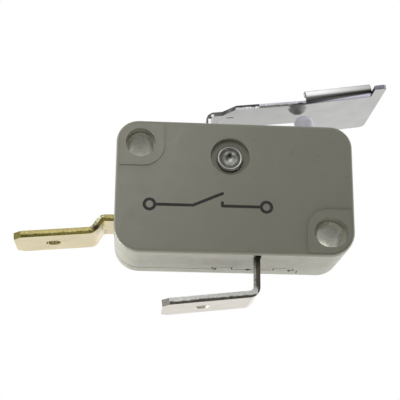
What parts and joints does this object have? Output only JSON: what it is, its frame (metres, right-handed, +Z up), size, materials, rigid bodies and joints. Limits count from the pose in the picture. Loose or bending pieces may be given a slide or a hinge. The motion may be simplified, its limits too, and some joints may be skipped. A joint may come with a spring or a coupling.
{
  "type": "micro switch",
  "caption": "Snap-action micro switch: flat moulded body with corner mounting holes, domed plunger, hinged steel lever with a wide paddle, a brass side tab and a bent lower tab.",
  "frame": {"origin": "middle of the two mounting holes, which is the middle of the moulded body", "axes": "+X along the body towards the lever's tip, +Y from the front face to the back along the mounting holes, +Z up towards the plunger and the lever"},
  "size_m": [0.0442, 0.0146, 0.0289],
  "materials": {
    "case": "satin moulded",
    "cover": "satin moulded",
    "rivet": "plated",
    "plunger": "smooth moulded",
    "lever": "bright rolled",
    "brass_tab": "bright rolled",
    "tinned_tab": "tinned",
    "contact": "silver alloy",
    "contact_arm": "rolled",
    "spring": "rolled"
  },
  "bodies": {
    "base": {"case": "case", "cover": "cover", "rivet": "rivet", "side_tab": "brass_tab", "lower_tab": "tinned_tab", "fixed_contact": "contact", "snap_spring": "spring"},
    "button": {"plunger": "plunger"},
    "lever_arm": {"lever": "lever"},
    "rocker": {"contact_arm": "contact_arm", "moving_contact": "contact"}
  },
  "joints": [
    {"name": "lever_hinge", "type": "hinge", "parent": "base", "child": "lever_arm", "pos_m": [-0.00275, 0.00185, 0.0059], "axis": [0, 1, 0], "range_deg": [0, 9], "stiffness_Nm_per_rad": 0.04, "springref_deg": -8.59},
    {"name": "plunger_slide", "type": "slide", "parent": "base", "child": "button", "axis": [0, 0, -1], "range_m": [0, 0.0019]},
    {"name": "contact_rock", "type": "hinge", "parent": "base", "child": "rocker", "pos_m": [0.0009, 0, -0.00115], "axis": [0, 1, 0], "range_deg": [0, 13], "deforming": ["snap_spring"]}
  ],
  "couplings": [
    {"joint": "plunger_slide", "follows": "lever_hinge", "m_per_rad": 0.011459},
    {"joint": "contact_rock", "follows": "lever_hinge", "ratio": 1.392}
  ]
}
